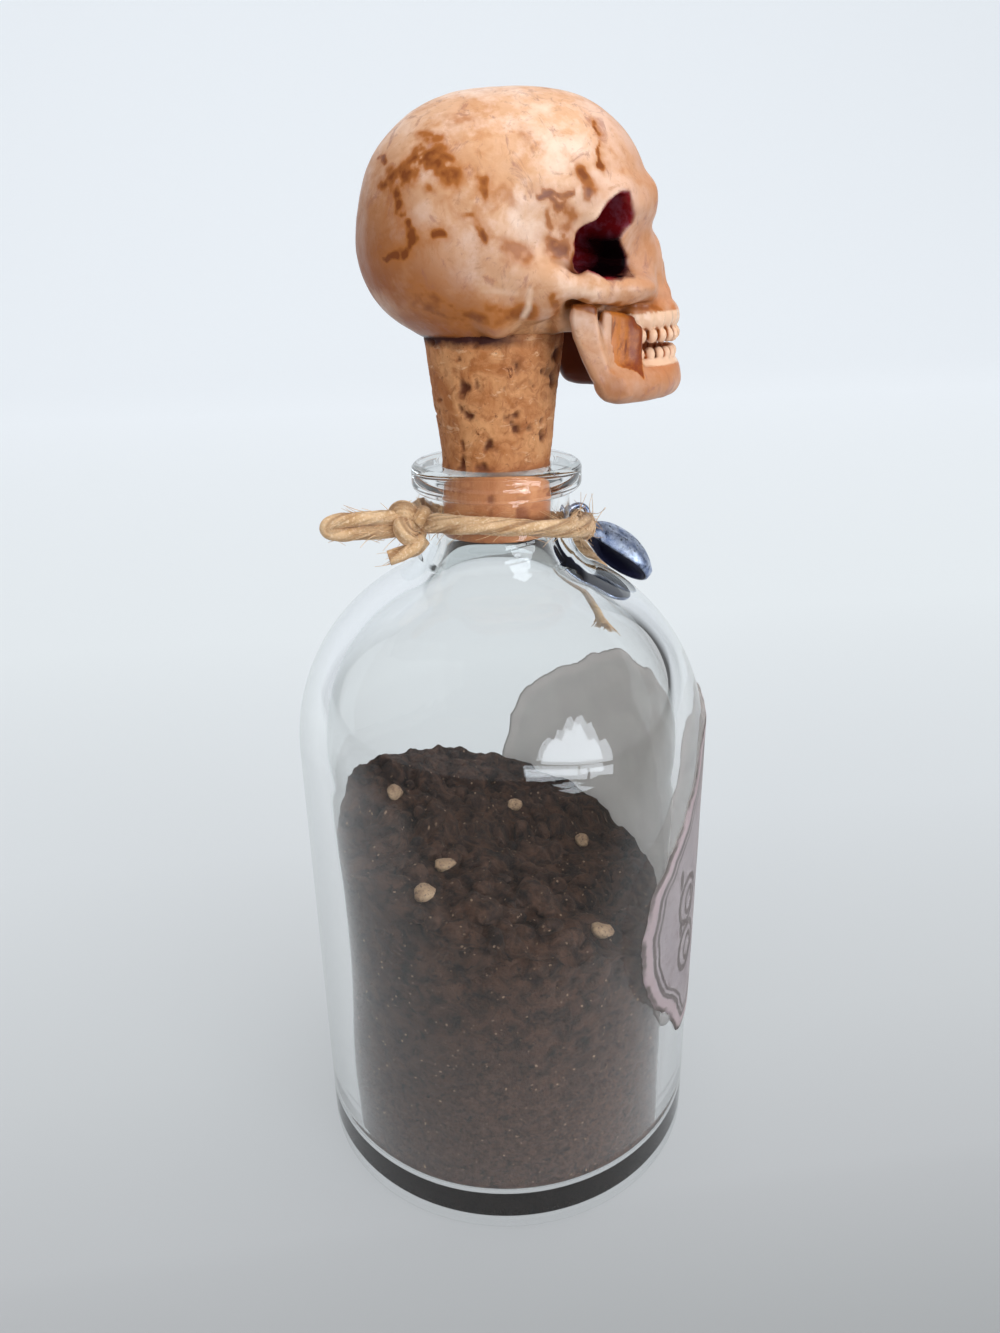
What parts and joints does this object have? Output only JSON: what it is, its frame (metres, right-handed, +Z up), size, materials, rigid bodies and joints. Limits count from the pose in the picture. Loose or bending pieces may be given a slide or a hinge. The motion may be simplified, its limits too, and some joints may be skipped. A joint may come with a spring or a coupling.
{
  "type": "poison bottle",
  "caption": "Clear glass vial with soil, a cork topped by a skull with a hinged jaw, a twine tie with a hanging charm, and a paper label.",
  "frame": {"origin": "centre of the bottle's base, on the surface it stands on", "axes": "+Z up along the bottle's axis, +X the way the skull faces, +Y to the skull's left"},
  "size_m": [0.0519, 0.0518, 0.1328],
  "materials": {
    "clear_glass": "clear and glossy",
    "cork": "pressed cork, matte",
    "cast_resin": "bone coloured with brown stain, satin",
    "soil": "loose dark soil, matte",
    "stones": "matte",
    "label_paper": "aged paper, matte",
    "twine": "jute, matte",
    "charm_metal": "antique silver plating"
  },
  "bodies": {
    "bottle": {"bottle": "clear_glass", "soil_fill": "soil", "soil_stones": "stones", "front_label": "label_paper", "twine_knot": "twine", "twine_neck_loop": "twine", "twine_flat_loop": "twine", "twine_short_tail": "twine", "twine_long_tail": "twine"},
    "stopper": {"cork_stopper": "cork", "skull_cranium": "cast_resin"},
    "jaw": {"skull_jaw": "cast_resin"},
    "charm": {"charm": "charm_metal"}
  },
  "joints": [
    {"name": "stopper_lift", "type": "slide", "parent": "bottle", "child": "stopper", "axis": [0, 0, 1], "range_m": [0, 0.03]},
    {"name": "jaw_open", "type": "hinge", "parent": "stopper", "child": "jaw", "pos_m": [0.008, 0, 0.1106], "axis": [0, 1, 0], "range_deg": [0, 22]},
    {"name": "charm_swing", "type": "hinge", "parent": "bottle", "child": "charm", "pos_m": [0.01035, 0.00247, 0.08648], "axis": [0.2419, -0.9703, 0], "range_deg": [0, 90]}
  ]
}
